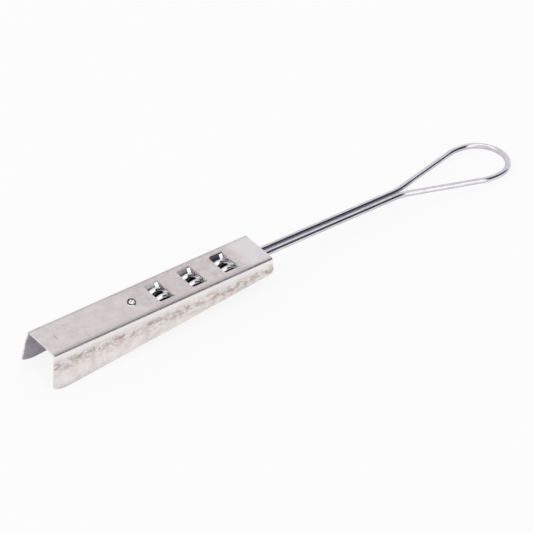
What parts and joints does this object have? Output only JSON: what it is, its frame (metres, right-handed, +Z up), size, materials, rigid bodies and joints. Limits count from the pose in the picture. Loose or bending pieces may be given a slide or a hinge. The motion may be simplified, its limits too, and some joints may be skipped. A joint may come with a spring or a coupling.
{
  "type": "drop cable clamp wedge with bail",
  "caption": "Folded steel channel wedge with a bent wire bail woven through lanced straps; the wedge grips a drop cable in its shell and the bail's eye hangs on a hook.",
  "frame": {"origin": "centre of the bounding box on the floor the clamp lies on", "axes": "+X from the tall end of the wedge towards the bail's eye, +Y across the wedge, +Z up from the floor; the web leans 1.6 degrees down towards the bail because the flange toes and the eye's tip rest on the floor"},
  "size_m": [0.2551, 0.0286, 0.0172],
  "materials": {
    "channel_sheet": "matte stainless sheet with faint mill mottling, brighter where it was sheared and drawn",
    "bail_wire": "smooth bright drawn stainless wire"
  },
  "bodies": {
    "root": {"wedge_channel": "channel_sheet", "bail_wire": "bail_wire"}
  },
  "joints": []
}
